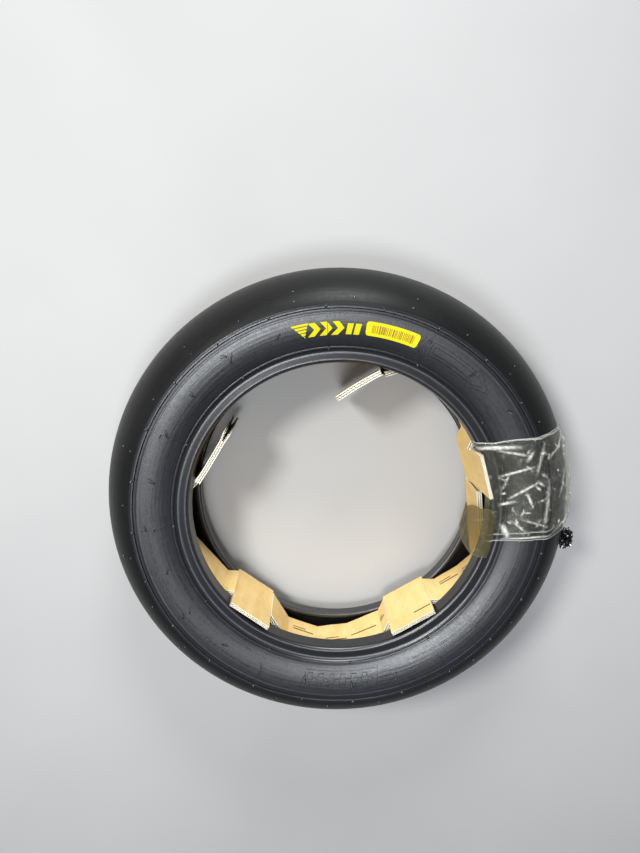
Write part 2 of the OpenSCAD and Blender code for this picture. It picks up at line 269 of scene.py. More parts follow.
# ---------------------------------------------------------------- materials
class Nodes:
    def __init__(self, name):
        self.mat = bpy.data.materials.new(name)
        self.mat.use_nodes = True
        self.t = self.mat.node_tree
        self.bsdf = self.t.nodes["Principled BSDF"]
        self.coord = self.t.nodes.new("ShaderNodeTexCoord").outputs["Object"]

    def node(self, kind, **vals):
        n = self.t.nodes.new(kind)
        for k, v in vals.items():
            if hasattr(n, k):
                setattr(n, k, v)
            else:
                n.inputs[k].default_value = v
        return n

    def link(self, a, b):
        self.t.links.new(a, b)

    def noise(self, scale, detail=4.0, rough=0.55, vec=None, distort=0.0):
        n = self.node("ShaderNodeTexNoise")
        n.inputs["Scale"].default_value = scale
        n.inputs["Detail"].default_value = detail
        n.inputs["Roughness"].default_value = rough
        n.inputs["Distortion"].default_value = distort
        self.link(vec or self.coord, n.inputs["Vector"])
        return n.outputs["Fac"]

    def scaled(self, xyz):
        m = self.node("ShaderNodeMapping")
        m.inputs["Scale"].default_value = xyz
        self.link(self.coord, m.inputs["Vector"])
        return m.outputs["Vector"]

    def polar(self, ka, kr, kz):
        """Coordinates that run round the axle: angle, radius and height, each times a factor."""
        s = self.node("ShaderNodeSeparateXYZ")
        self.link(self.coord, s.inputs[0])
        a = self.math("ARCTAN2", s.outputs["Y"], s.outputs["X"])
        r = self.math("POWER", self.math("ADD", self.math("POWER", s.outputs["X"], 2.0),
                                         self.math("POWER", s.outputs["Y"], 2.0)), 0.5)
        c = self.node("ShaderNodeCombineXYZ")
        for i, (q, k) in enumerate(((a, ka), (r, kr), (s.outputs["Z"], kz))):
            self.link(self.math("MULTIPLY", q, k), c.inputs[i])
        self.radius = r
        return c.outputs[0]

    def math(self, op, a, b=None):
        n = self.node("ShaderNodeMath", operation=op)
        for i, q in enumerate((a, b)):
            if q is None:
                continue
            if isinstance(q, (int, float)):
                n.inputs[i].default_value = q
            else:
                self.link(q, n.inputs[i])
        return n.outputs[0]

    def ramp(self, fac, stops):
        r = self.node("ShaderNodeValToRGB")
        while len(r.color_ramp.elements) < len(stops):
            r.color_ramp.elements.new(0.5)
        for e, (p, c) in zip(r.color_ramp.elements, stops):
            e.position = p
            e.color = (*c, 1) if len(c) == 3 else c
        self.link(fac, r.inputs[0])
        return r.outputs[0]

    def range(self, fac, lo, hi, a=0.0, b=1.0):
        r = self.node("ShaderNodeMapRange")
        for k, v in (("From Min", a), ("From Max", b), ("To Min", lo), ("To Max", hi)):
            r.inputs[k].default_value = v
        self.link(fac, r.inputs["Value"])
        return r.outputs[0]

    def bump(self, height, strength, dist, prev=None):
        b = self.node("ShaderNodeBump")
        b.inputs["Strength"].default_value = strength
        b.inputs["Distance"].default_value = dist
        self.link(height, b.inputs["Height"])
        if prev is not None:
            self.link(prev, b.inputs["Normal"])
        return b.outputs["Normal"]

    def set(self, **vals):
        for k, v in vals.items():
            s = self.bsdf.inputs[k.replace("_", " ")]
            if hasattr(v, "is_linked"):
                self.link(v, s)
            else:
                s.default_value = v
        return self.mat


def rubber(name, dark, light, r_lo, r_hi, streak=0.35, grain=0.25, spec=0.5, rings=0.0):
    n = Nodes(name)
    around = n.polar(2.2, 260.0, 120.0)
    flow = n.noise(1.6, 5, 0.6, around)
    cloud = n.noise(14, 5, 0.6)
    fine = n.noise(1900, 2, 0.5)
    mid = n.noise(260, 4, 0.6)
    colour = n.ramp(n.math("ADD", n.math("MULTIPLY", cloud, 0.6), n.math("MULTIPLY", flow, 0.4)),
                    [(0.30, dark), (0.70, light)])
    rough = n.range(n.math("ADD", n.math("MULTIPLY", flow, 0.5), n.math("MULTIPLY", mid, 0.5)),
                    r_lo, r_hi, 0.3, 0.7)
    nor = n.bump(flow, streak, 0.00025)
    nor = n.bump(mid, grain, 0.00012, nor)
    nor = n.bump(fine, grain, 0.00005, nor)
    if rings:
        w = n.math("SINE", n.math("MULTIPLY", n.radius, 2 * math.pi / 0.0042))
        nor = n.bump(w, rings, 0.00006, nor)
    return n.set(Base_Color=colour, Roughness=rough, Normal=nor, Specular_IOR_Level=spec)


tread_mat = rubber("tread_rubber", (0.005, 0.0053, 0.005), (0.011, 0.0115, 0.0105),
                   0.34, 0.50, 0.5, 0.35, 0.2)
side_mat = rubber("side_rubber", (0.005, 0.0055, 0.007), (0.012, 0.013, 0.017),
                  0.25, 0.38, 0.5, 0.4, 0.6, 0.08)
bead_mat = rubber("bead_rubber", (0.006, 0.0065, 0.008), (0.012, 0.013, 0.017), 0.27, 0.38, 0.3, 0.25, 0.8)
# stubs, dots and hairs use the side rubber made lighter: a painted highlight on them
flash_highlight_mat = rubber("flash_rubber_painted_highlight", (0.018, 0.018, 0.019), (0.04, 0.04, 0.042), 0.22, 0.34, 0.2, 0.2, 0.9)
inner_mat = rubber("liner_rubber", (0.012, 0.012, 0.013), (0.022, 0.022, 0.024), 0.45, 0.7, 0.5, 0.5, 0.35)
base_mat = rubber("base_rubber", (0.02, 0.02, 0.02), (0.04, 0.04, 0.04), 0.6, 0.8)


def cords(name, a, b, pitch):
    n = Nodes(name)
    s = n.polar(1.0, 1.0, 1.0)
    sep = n.node("ShaderNodeSeparateXYZ")
    n.link(s, sep.inputs[0])
    line = n.math("ADD", n.math("MULTIPLY", sep.outputs[0], 0.2 * 2 * math.pi / pitch),
                  n.math("MULTIPLY", sep.outputs[2], 2 * math.pi / pitch * 0.5))
    wave = n.range(n.math("SINE", line), 0, 1, -1, 1)
    colour = n.ramp(wave, [(0.2, a), (0.8, b)])
    return n.set(Base_Color=colour, Roughness=0.75, Normal=n.bump(wave, 0.8, 0.0003))


cord_mat = cords("carcass_cord", (0.20, 0.15, 0.08), (0.45, 0.36, 0.21), 0.0011)
belt_mat = cords("ply_cord", (0.14, 0.11, 0.07), (0.38, 0.32, 0.2), 0.0012)
weave_mat = cords("chafer_fabric", (0.12, 0.11, 0.09), (0.3, 0.27, 0.22), 0.0008)
wire_mat = Nodes("bead_wire").set(Base_Color=(0.45, 0.33, 0.19, 1), Metallic=1.0, Roughness=0.32)


def paint(name, colour, worn, rough):
    n = Nodes(name)
    f = n.noise(420, 5, 0.65)
    g = n.noise(90, 4, 0.6)
    c = n.ramp(n.math("ADD", n.math("MULTIPLY", f, 0.5), n.math("MULTIPLY", g, 0.5)),
               [(0.33, worn), (0.43, colour)])
    return n.set(Base_Color=c, Roughness=n.range(f, rough - 0.08, rough + 0.1), Normal=n.bump(f, 0.2, 0.0001),
                 Specular_IOR_Level=0.2)


yellow_mat = paint("yellow_paint", (0.74, 0.66, 0.0), (0.60, 0.52, 0.01), 0.62)
label_mat = paint("label_paper", (0.80, 0.72, 0.0), (0.77, 0.68, 0.01), 0.5)
ink_mat = paint("label_ink", (0.36, 0.20, 0.03), (0.50, 0.31, 0.05), 0.6)
dark_ink_mat = paint("dark_ink", (0.10, 0.06, 0.03), (0.22, 0.13, 0.06), 0.6)


def kraft(name, dark, light, rough=0.85):
    n = Nodes(name)
    fibre = n.noise(90, 8, 0.7, n.scaled((1, 1, 0.35)))
    fleck = n.noise(1100, 3, 0.6, n.scaled((1, 1, 0.3)))
    stain = n.noise(22, 4, 0.6)
    mixv = n.math("ADD", n.math("MULTIPLY", fibre, 0.5),
                  n.math("ADD", n.math("MULTIPLY", fleck, 0.25), n.math("MULTIPLY", stain, 0.25)))
    colour = n.ramp(mixv, [(0.34, dark), (0.62, light)])
    nor = n.bump(fleck, 0.35, 0.0001)
    nor = n.bump(fibre, 0.3, 0.0003, nor)
    return n.set(Base_Color=colour, Roughness=rough, Normal=nor, Specular_IOR_Level=0.2)


face_mat = kraft("carton", (0.80, 0.54, 0.19), (1.0, 0.76, 0.36))
# cut edges are painted near white: the paper's paler cut edge, brightened further as a painted highlight
cut_edge_highlight_mat = kraft("carton_cut_edge_painted_highlight", (0.86, 0.78, 0.58), (0.97, 0.93, 0.80))
# flute paper and the liners' inner faces are painted near black: painted shade down the narrow flute channels
flute_shade_mat = kraft("carton_flute_painted_shade", (0.05, 0.032, 0.014), (0.11, 0.07, 0.03))


def film_material(name, haze_and_glint, tint, gloss, cream=(0.93, 0.92, 0.86)):
    """Clear sheet: see-through, mirror-like at its folds, milky by the point attribute: the sheet's own light
    milkiness plus painted glints along folds and crinkles and a painted sheen at its edges.
    """
    n = Nodes(name)
    n.t.nodes.remove(n.bsdf)
    out = next(x for x in n.t.nodes if x.type == "OUTPUT_MATERIAL")
    crease = n.noise(85, 6, 0.7, distort=1.4)
    vor = n.node("ShaderNodeTexVoronoi", feature="DISTANCE_TO_EDGE")
    vor.inputs["Scale"].default_value = 70
    n.link(n.coord, vor.inputs["Vector"])
    nor = n.bump(crease, 0.8, 0.0016)
    nor = n.bump(vor.outputs["Distance"], 0.4, 0.0015, nor)
    clear = n.node("ShaderNodeBsdfTransparent", Color=(*tint, 1))
    shine = n.node("ShaderNodeBsdfGlossy", Roughness=0.05, Color=(1, 1, 1, 1))
    n.link(nor, shine.inputs["Normal"])
    # diffuse milky white: the sheet's own milkiness and its painted glints and sheen
    milk_and_glint = n.node("ShaderNodeBsdfDiffuse", Color=(*cream, 1))
    weight = n.node("ShaderNodeLayerWeight", Blend=0.3)
    n.link(nor, weight.inputs["Normal"])
    # point attribute from film_sheet, mostly painted glints on folds and crinkles and a painted sheen at the
    # edges
    att = n.node("ShaderNodeAttribute", attribute_name="haze_and_glint")
    cloud = n.range(crease, 0.3, 1.5)
    mixed = n.math("ADD", n.math("MULTIPLY", cloud, haze_and_glint), att.outputs["Fac"])
    first, last = n.node("ShaderNodeMixShader"), n.node("ShaderNodeMixShader")
    n.link(n.math("MINIMUM", mixed, 0.92), first.inputs[0])
    n.link(clear.outputs[0], first.inputs[1])
    n.link(milk_and_glint.outputs[0], first.inputs[2])
    edge_shine = n.math("ADD", n.math("MULTIPLY", weight.outputs["Fresnel"], gloss), 0.002)
    n.link(n.math("MINIMUM", edge_shine, 0.16), last.inputs[0])
    n.link(first.outputs[0], last.inputs[1])
    n.link(shine.outputs[0], last.inputs[2])
    n.link(last.outputs[0], out.inputs["Surface"])
    return n.mat


film_mat = film_material("clear_film", 0.003, (0.975, 0.975, 0.95), 0.13)
# olive tint and dark olive milky colour: painted shade with a painted green reflection on the film across the
# opening
inner_film_shaded_mat = film_material("clear_film_folded_painted_shade", 0.10, (0.76, 0.71, 0.50), 0.3, (0.42, 0.38, 0.24))

under_film_mat = film_material("clear_film_under", 0.003, (0.98, 0.98, 0.96), 0.04)


def black_film():
    n = Nodes("black_film")
    c = n.noise(230, 6, 0.7, distort=1.5)
    return n.set(Base_Color=(0.010, 0.010, 0.012, 1), Roughness=n.range(c, 0.05, 0.22),
                 Specular_IOR_Level=1.0, Coat_Weight=1.0, Coat_Roughness=0.04, Normal=n.bump(c, 0.25, 0.0005))


knot_mat = black_film()

# ---------------------------------------------------------------- rubber skins
TURN = np.linspace(0, 2 * math.pi, 540, endpoint=False)


def mirrored(ch):
    return ch + [np.array([p[0], -p[1]]) for p in ch[-2::-1]]


def tread():
    out = mirrored([arch(u, 0) for u in np.linspace(0.001, 1, 56)])
    inn = mirrored([arch(u, 0.495) for u in np.linspace(0.001, 1, 16)])
    v, f = revolve(ccw(np.array(out + inn[::-1])), TURN)
    rad = np.hypot(v[:, 0], v[:, 1])
    # the faint parting line where the two mould halves met
    lift = 0.14 * np.exp(-((v[:, 2] / 0.5) ** 2)) * (rad > 241)
    v[:, :2] *= (1 + lift / rad)[:, None]
    return piece("tread_skin", v, f, tread_mat, slot="tread_rubber", replaces=["tread_cap"], angle=40)


tread()

# shoulder ridge grooves sit every 30 degrees, at every second vent
VENT0 = 4.0
GROOVES = np.radians(VENT0 + 30 * np.arange(12))
fine = [g + d for g in GROOVES for d in np.radians([-0.11, -0.075, 0.075, 0.11])]
SIDE_TURN = np.array(sorted(list(TURN) + [x % (2 * math.pi) for x in fine]))


def groove(th, r, z):
    d = np.min(np.abs((th[..., None] - GROOVES + math.pi) % (2 * math.pi) - math.pi), -1)
    return -0.4 * (d < math.radians(0.09)) * (r > 205.5) * (r < 209.3) * (np.abs(z) > 56.9)


def side_section():
    r = np.unique(np.concatenate([np.linspace(166.45, 169.4, 26), np.linspace(169.4, 204.8, 46)]))
    z = side_z(r) + 0.9 * smooth(r, 166.55, 167.15) * (1 - smooth(r, 168.1, 168.75))
    z = z - 0.25 * np.exp(-(((r - 169.3) / 0.5) ** 2))
    z = z + 0.22 * np.exp(-(((r - 201.6) / 0.9) ** 2))
    out = [np.array(p) for p in zip(r, z)]
    out += [np.array(p) for p in ((205.1, 55.75), (205.35, 55.7), (205.52, 56.2), (205.62, 56.95),
                                  (205.85, 57.3), (206.2, 57.4), (207.3, 57.4), (208.5, 57.4),
                                  (208.85, 57.3), (209.08, 56.98), (209.3, 56.5), (209.49, 56.24))]
    inn = [arch(0, 0.735)] + [side(t, 0.735 - 0.2 * (0.95 - t)) for t in np.linspace(0.95, 0.45, 10)]
    inn += [side(0.405, 0.59), side(0.405, 0.44), side(0.3, 0.42), side(0.15, 0.36), side(0.004, 0.295)]
    return np.array(out + inn)


for up, word in ((1, "upper"), (-1, "lower")):
    sec = side_section()
    v, f = revolve(ccw(sec), SIDE_TURN, groove)
    v[:, 2] *= up
    piece("sidewall_skin_" + word, v, f if up > 0 else f[:, ::-1], side_mat, slot="side_rubber",
          replaces=["sidewall_" + word], angle=38)


def cushion_section():
    h = np.radians(np.linspace(90, 180, 22))
    out = [np.array([166.38, 45.88])]
    t = np.linspace(0, 1, 26)[1:-1]
    a, b, c, d = (np.array(p) for p in ((166.38, 45.88), (164.0, 42.7), (161.0, 44.3), (156.8, 44.6)))
    out += [a * (1 - k) ** 3 + 3 * b * k * (1 - k) ** 2 + 3 * c * k * k * (1 - k) + d * k ** 3 for k in t]
    out += [np.array([156.8 + 4.2 * math.cos(x), 40.4 + 4.2 * math.sin(x)]) for x in h]
    out += [np.array(p) for p in ((152.2, 35.0), (151.9, 31.0), (151.7, 28.5), (151.62, 28.0), (151.7, 27.6),
                                  (151.95, 27.35), (153.2, 26.9), (154.5, 26.6), (157, 27.9), (159.5, 29.4),
                                  (161.15, 30.6), (161.15, 32.15), (156.5, 32.2), (154.9, 33.1),
                                  (154.6, 36.4), (154.9, 39.9), (156.5, 40.6), (161.1, 40.65), (166.1, 43.5))]
    return np.array(out)


for up, word in ((1, "upper"), (-1, "lower")):
    v, f = revolve(ccw(cushion_section()), TURN)
    v[:, 2] *= up
    piece("bead_skin_" + word, v, f if up > 0 else f[:, ::-1], bead_mat, slot="bead_rubber",
          replaces=["rim_cushion_" + word], angle=45)

# ---------------------------------------------------------------- vent stubs, hairs, dots, mould lines
VENTS = 24
VENT_STEP = 360 / VENTS
RIDGE_R, RIDGE_Z = 207.3, 57.3  # where the ridge stubs start, 0.1 under its flat top
RIM_LINE_R, RIM_LINE_Z = 167.6, 47.2
DOT_R = (215.2, 224.2)  # two rings of dots on the tread shoulder
LOWER_TURN = 11  # the hairs of the lower side mirror the upper ones, turned by this many degrees
HAIR_RADII = (0.85, 0.66, 0.56, 0.52, 0.5, 0.48, 0.47, 0.46, 0.45, 0.44, 0.4, 0.22)  # foot to tip
HAIR_R = (193.0, 186.0)  # two rings of vents on the sidewall, used by turns
# vents with no hair: 0 and 1 under the film and 23 close beside it, 5 under the label,
# 6 under the wing mark; nothing covers 21, it just has none
BARE_VENTS = (0, 1, 5, 6, 21, 23)
TWIN_VENTS = range(8, 19, 2)  # these have a second hair, on the inner ring


def hair_places():
    """Azimuth (degrees) and radius of each thin hair of rubber: one or two at a vent."""
    for i in range(VENTS):
        if i not in BARE_VENTS:
            yield VENT0 + VENT_STEP * i, HAIR_R[i % 2]
            if i in TWIN_VENTS:
                yield VENT0 + VENT_STEP * i, HAIR_R[1]


def stub(pile, base, axis, r, h, lean):
    """A cut-off vent stub: a short stalk with a rounded tip."""
    axis = np.asarray(axis, float) / np.linalg.norm(axis)
    k = np.array([0, 0.45, 0.8, 0.95, 1.0])
    path = [np.asarray(base) - axis * 0.3 + (axis * (h + 0.3) + lean * q * h) * q for q in k]
    tube(pile, path, [r * 1.15, r, r * 0.92, r * 0.62, r * 0.2], 12)


def flash(up, word):
    pile = Pile()
    for i in range(VENTS):  # on the shoulder ridge
        az = math.radians(VENT0 + VENT_STEP * i + rng.normal(0, 0.15))
        r = RIDGE_R + rng.normal(0, 0.25)
        lean = np.array([rng.normal(0, 0.35), rng.normal(0, 0.35), 0])
        stub(pile, (r * math.cos(az), r * math.sin(az), up * RIDGE_Z), (0, 0, up), rng.uniform(1.1, 1.5),
             rng.uniform(1.4, 2.6), lean)
    for i in range(VENTS // 2):  # on the rim line
        az = math.radians(VENT0 + 2 * VENT_STEP * i + rng.normal(0, 0.2))
        stub(pile, (RIM_LINE_R * math.cos(az), RIM_LINE_R * math.sin(az), up * RIM_LINE_Z),
             (-0.2 * math.cos(az), -0.2 * math.sin(az), up), rng.uniform(1.05, 1.35), rng.uniform(1.6, 2.6),
             np.array([rng.normal(0, 0.3), rng.normal(0, 0.3), 0]))
    for i in range(VENTS):  # dots on the tread shoulder, half way between the vents
        az = VENT0 + VENT_STEP / 2 + VENT_STEP * i
        for r, on in zip(DOT_R, (True, i % 2 == 0)):
            if on:
                p = math.acos((r - ARCH_R) / ARCH_A)
                a = math.radians(az + rng.normal(0, 0.2))
                n = np.array([math.cos(p) / ARCH_A * math.cos(a), math.cos(p) / ARCH_A * math.sin(a),
                              up * math.sin(p) / ARCH_B])
                base = (r * math.cos(a), r * math.sin(a), up * ARCH_B * math.sin(p))
                stub(pile, base, n, rng.uniform(0.8, 1.1), rng.uniform(0.6, 1.3), np.zeros(3))
    for az, r in hair_places():  # long thin hairs, pressed short on the side that lies on the ground
        a = az if up > 0 else -az + LOWER_TURN
        base = on_side(a, r, -0.2, 1)
        long = rng.uniform(5.0, 9.0)
        head, bend = rng.uniform(0, 2 * math.pi), rng.uniform(4.0, 8.0) * (1 if up > 0 else 0.6)
        if up < 0:
            long *= 0.16
            bend = 0.3
        path = []
        for q in np.linspace(0, 1, len(HAIR_RADII)):
            side_way = bend * q * q
            path.append(base + np.array([math.cos(head) * side_way, math.sin(head) * side_way,
                                         long * math.sin(q * 1.25) / math.sin(1.25)]))
        path = np.array(path)
        path[:, 2] *= up
        tube(pile, path, HAIR_RADII, 8)
        stub(pile, base * np.array([1, 1, up]), (0, 0, up), 0.95, 0.45, np.zeros(3))
    pile.make("vent_stubs_" + word, flash_highlight_mat, slot="side_rubber", angle=50)


def slanted(w, h, k):
    return [(-w / 2 - k, -h / 2), (w / 2 - k, -h / 2), (w / 2 + k, h / 2), (-w / 2 + k, h / 2)]


def moved(pts, dx, dy=0.0):
    return [(p[0] + dx, p[1] + dy) for p in pts]


def relief(up, word, turn):
    pile = Pile()
    s = 1 if up > 0 else -1

    def at(az):
        return az if up > 0 else turn - az

    # fine radial mould lines at every second vent, but the last, a pair, sits apart
    for i in range(12):
        az = VENT0 + 30 * i
        strong = i in (2, 3, 5, 6, 8, 10)
        for d in ((-0.32, 0.32) if i == 11 else (0.0,)):
            ribbon(pile, at(az + d - (14.3 if i == 11 else 0)), 186.5, [(0, -17.4), (0, 17.6)], 0.55,
                   0.30 if strong else 0.12, up, False)
    # a long outlined turning arrow, in the place of the size marking
    for k in (0.0, 1.0):
        line = [(-36 + 3.5 * k, -6.5 + 3.3 * k), (13 + 3 * k, -6.5 + 3.3 * k), (13 + 3 * k, -11 + 5 * k),
                (36 - 9 * k, 0), (13 + 3 * k, 11 - 5 * k), (13 + 3 * k, 6.5 - 3.3 * k),
                (-36 + 3.5 * k, 6.5 - 3.3 * k)]
        ribbon(pile, at(52), 187.0, [(s * x, y) for x, y in line], 1.3, 0.75, up)
    for k in range(3):
        ribbon(pile, at(52), 187.0,
               [(s * (-38.5 - 3 * k), -8.5), (s * (-41.5 - 3 * k), 0), (s * (-38.5 - 3 * k), 8.5)],
               0.9, 0.55, up, False)
    # speed bars and a chequered band in a slanted frame, in the place of the maker's marking
    for k in range(4):
        ribbon(pile, at(286.2), 185.5,
               moved(slanted(9 + 2.6 * k, 2.6, 0.8 * s), s * 0.6 * k, -6.6 + 4.4 * k), 0.75, 0.55, up)
    ribbon(pile, at(270.5), 185.5, slanted(79, 18.5, 2.4 * s), 1.2, 0.7, up)
    for k in range(3):
        for j in range(12):
            if (j + k) % 2:
                dx, y = -33.0 + 6.0 * j + s * 0.6 * k, -4.9 + 4.9 * k
                q = [(dx - 2.7, y - 2.2), (dx + 2.7, y - 2.2),
                     (dx + 2.7 + 0.5 * s, y + 2.2), (dx - 2.7 + 0.5 * s, y + 2.2)]
                plate(pile, at(270.5), 185.5, q, 0.5, up=up, nx=3, ny=3, top=0.84)
    # rows of small raised marks, in the place of the small text
    rows = ((176, 197, 192.6, 2.4), (200, 219, 192.4, 2.4), (222, 240, 192.2, 2.2), (176, 186, 187.2, 1.8),
            (189, 211, 176.6, 2.2), (214, 238, 176.4, 2.0), (189, 204, 180.6, 1.6), (319, 343, 187.4, 2.6),
            (322, 340, 181.6, 1.8), (26, 37, 176.2, 2.0), (26, 38, 181.0, 1.8), (28, 38, 186.4, 2.2),
            (112, 148, 177.0, 1.8), (296, 312, 179.2, 2.0))
    for a0, a1, r, tall in rows:
        a = a0
        while a < a1:
            w = rng.uniform(0.9, 1.9)
            da = math.degrees(w / r)
            q = [(-w / 2, -tall / 2), (w / 2, -tall / 2), (w / 2, tall / 2), (-w / 2, tall / 2)]
            plate(pile, at(a + da / 2), r, q, 0.48, up=up, nx=2, ny=2, top=0.8)
            a += da + math.degrees((0.7 if rng.random() > 0.16 else 2.6) / r)
    # a round mould stamp and its inner ring
    for rad in (5.2, 3.4):
        ribbon(pile, at(28.5), 197.6,
               [(rad * math.cos(t), rad * math.sin(t)) for t in np.linspace(0, 2 * math.pi, 26)[:-1]],
               0.5, 0.3, up)
    pile.make("side_relief_" + word, side_mat, slot="side_rubber", angle=30)


for up, word in ((1, "upper"), (-1, "lower")):
    flash(up, word)
    relief(up, word, 143.0)

# ---------------------------------------------------------------- paint and label
# azimuth in degrees and radius of the middle of each mark
WING_AT = (96.45, 186.7)
BLOCKS_AT = (86.5, 186.0)
LABEL_AT = (75.1, 187.9)


def paint_marks():
    pile = Pile()
    for k in range(5):  # swept feathers
        y, x0 = 5.9 - 2.95 * k, -25.6 + 2.5 * k
        x1 = -9.4 - 1.2 * k
        q = [(x0 + 1.6, y - 1.0 - 0.25 * k), (x1 - 0.6, y - 1.0), (x1, y + 1.0), (x0, y + 0.9)]
        plate(pile, *WING_AT, q, 0.1, nx=7, ny=3)
    for x in (-9.2, 2.0, 13.2):  # three arrows
        plate(pile, *WING_AT, moved([(4.6, 0.02), (10.6, 0.02), (5.9, 6.4), (-0.4, 6.4)], x),
              0.1, nx=5, ny=6)
        plate(pile, *WING_AT, moved([(-2.2, -6.4), (4.2, -6.4), (10.6, -0.02), (4.6, -0.02)], x),
              0.1, nx=5, ny=6)
    pile.make("wing_mark_paint", yellow_mat, slot="yellow_paint", replaces=["wing_mark"], angle=30)
    pile = Pile()
    for x in (-3.7, 3.7):
        plate(pile, *BLOCKS_AT, moved([(-3.6, -5.2), (1.8, -5.2), (3.6, 5.2), (-1.8, 5.2)], x),
              0.1, nx=4, ny=5)
    pile.make("compound_mark_paint", yellow_mat, slot="yellow_paint", replaces=["compound_mark"], angle=30)


def label():
    pile = Pile()
    half, tall, c = 25.7, 13.4, 2.4

    def rounded(s):
        x = np.abs(s - 0.5) * 2 * half
        k = np.clip((x - (half - c)) / c, 0, 1)
        return (tall / 2 - c + c * np.sqrt(np.maximum(1 - k * k, 0))) / (tall / 2)

    quad = [(-half, -tall / 2), (half, -tall / 2), (half, tall / 2), (-half, tall / 2)]
    s = 41
    plate(pile, *LABEL_AT, quad, 0.2, 0.02, nx=s, ny=5, shape=rounded)
    pile.make("barcode_label_skin", label_mat, slot="label_paper", replaces=["barcode_label"], angle=30)
    pile = Pile()
    x = -20.0
    while x < 20.5:
        w = float(rng.choice([0.7, 0.7, 1.0, 1.5]))
        h = 7.4 if rng.random() > 0.25 else 8.2
        plate(pile, *LABEL_AT, [(x, -h / 2), (x + w, -h / 2), (x + w, h / 2), (x, h / 2)],
              0.29, 0.1, nx=2, ny=5)
        x += w + float(rng.choice([0.55, 0.75, 1.1]))
    pile.make("barcode_print", ink_mat, slot="label_ink", replaces=["barcode_bars"], angle=30)


paint_marks()
label()

# ---------------------------------------------------------------- corrugated strip
LINER, FLUTE, WAVE = 0.78, 0.46, 3.2
LAYERS = (0.0, (BOARD_T - LINER) / 2, BOARD_T - LINER)


def prism(pile, a, b, low, top, levels, place, mats, dent=None):
    """A paper strip between curves a and b (x, y) from height low to top, each given per sample."""
    n = len(a)
    ks = np.linspace(0, 1, levels)
    rows = []
    for curve in (a, b):
        for k in ks:
            z = low + (top - low) * k
            p = np.column_stack([curve, z])
            if dent is not None:
                p[:, 1] += dent(p[:, 0], z)
            rows.append(p)
    v = place(np.concatenate(rows))
    f, m = [], []
    kn = levels * n

    def put(q, mat):
        f.append(q)
        m.append(mat)

    for k in range(levels - 1):
        for i in range(n - 1):
            p = k * n + i
            put([p, p + 1, p + n + 1, p + n], mats[0])
            put([kn + p + n, kn + p + n + 1, kn + p + 1, kn + p], mats[1])
        for i, flip in ((0, 1), (n - 1, 0)):
            q = [k * n + i, kn + k * n + i, kn + (k + 1) * n + i, (k + 1) * n + i]
            put(q[::-1] if flip else q, mats[2])
    for i in range(n - 1):
        put([i + 1, i, kn + i, kn + i + 1], mats[2])
        t = (levels - 1) * n
        put([t + i, t + i + 1, kn + t + i + 1, kn + t + i], mats[2])
    pile.add(v, f, m)


def wobble(x, seed, amp):
    return amp * np.array([noise.noise((float(q) * 0.13, seed, 0.3))
                           + 0.5 * noise.noise((float(q) * 0.55, seed, 4.1))
                           for q in np.atleast_1d(x)])


def placer(origin, direction, lean=0.0, outward=-1):
    """Local x along the board, y from the inner face outwards, z up, to the row frame."""
    d, l = math.radians(direction), math.radians(lean)

    def go(p):
        p = np.asarray(p, float)
        y = p[:, 1] * outward
        z = p[:, 2]
        y2, z2 = y * math.cos(l) - z * math.sin(l), y * math.sin(l) + z * math.cos(l)
        return np.column_stack([origin[0] + p[:, 0] * math.cos(d) - y2 * math.sin(d),
                                origin[1] + p[:, 0] * math.sin(d) + y2 * math.cos(d), z2])
    return go


def board(pile, length, low, top, place, m0=0.0, m1=0.0, seed=0.0, split=0.0, ragged=0.4, start=0.0,
          bow=0.0, tear=0.0, crush=1.0):
    """Double-wall board: three liners and two flutings, with mitred ends m0 and m1 (tan of half the turn)."""
    def edges(x, s):
        lo = low + wobble(x, seed + s, ragged)
        hi = top + wobble(x, seed + 7 + s, ragged)
        if tear:
            hi = hi - tear * smooth(x, length - 9, length) * (0.6 + 0.4 * np.sin(x * 2.1 + s))
            lo = lo + tear * 0.7 * smooth(x, length - 7, length) * (0.5 + 0.5 * np.sin(x * 1.7 + s))
        return lo, hi

    def dent(x, z):
        d = 0.16 * np.sin(x * 2 * math.pi / WAVE) * 0.25
        d += np.array([0.22 * noise.noise((float(a) * 0.08, float(b) * 0.06, seed)) for a, b in zip(x, z)])
        return d + bow * np.sin(np.pi * np.clip(x / length, 0, 1))

    def deep(y):
        return BOARD_T - (BOARD_T - y) * crush

    for li, y in enumerate(LAYERS):
        x0, x1 = start - y * m0, length + y * m1
        if split and li == 1:
            x1 = length - split * 0.8
        n = max(6, int((x1 - x0) / 0.9))
        x = np.linspace(x0, x1, n)
        apart = np.zeros(n)
        if split:
            apart = (-0.9, 0, 1.05)[li] * smooth(x, length - split, length)
        lo, hi = edges(x, li * 0.4)
        ya, yb = deep(y) + apart, deep(y + LINER) + apart
        # material 1 is the cut edge, material 2 the near-black flute paper painted as shade
        prism(pile, np.column_stack([x, ya]), np.column_stack([x, yb]), lo, hi, 7, place,
              ((0, 2, 1), (2, 2, 1), (2, 0, 1))[li], dent)
    for fi in (0, 1):
        a, b = deep(LAYERS[fi] + LINER) - 0.04, deep(LAYERS[fi + 1]) + 0.04
        mid, amp = (a + b) / 2, (b - a - FLUTE) / 2
        x1 = length - 0.4 + m1 * mid
        x0 = start + 0.4 - m0 * mid
        n = max(12, int((x1 - x0) / WAVE * 11))
        x = np.linspace(x0, x1, n)
        ph = 2 * math.pi * x / WAVE + fi * 2.0 + seed
        y = mid + amp * np.sin(ph)
        if split:
            y = y + (-0.9, 1.05)[fi] * smooth(x, length - split, length)
        slope = amp * np.cos(ph) * 2 * math.pi / WAVE
        k = np.sqrt(1 + slope ** 2)
        nx, ny = -slope / k * FLUTE / 2, 1 / k * FLUTE / 2
        lo, hi = edges(x, 0.2)
        prism(pile, np.column_stack([x - nx, y - ny]), np.column_stack([x + nx, y + ny]),
              lo + 0.25, hi - 0.25, 5, place, (2, 2, 1), dent)


def polar(a, r):
    return np.array([r * math.cos(math.radians(a)), r * math.sin(math.radians(a))])


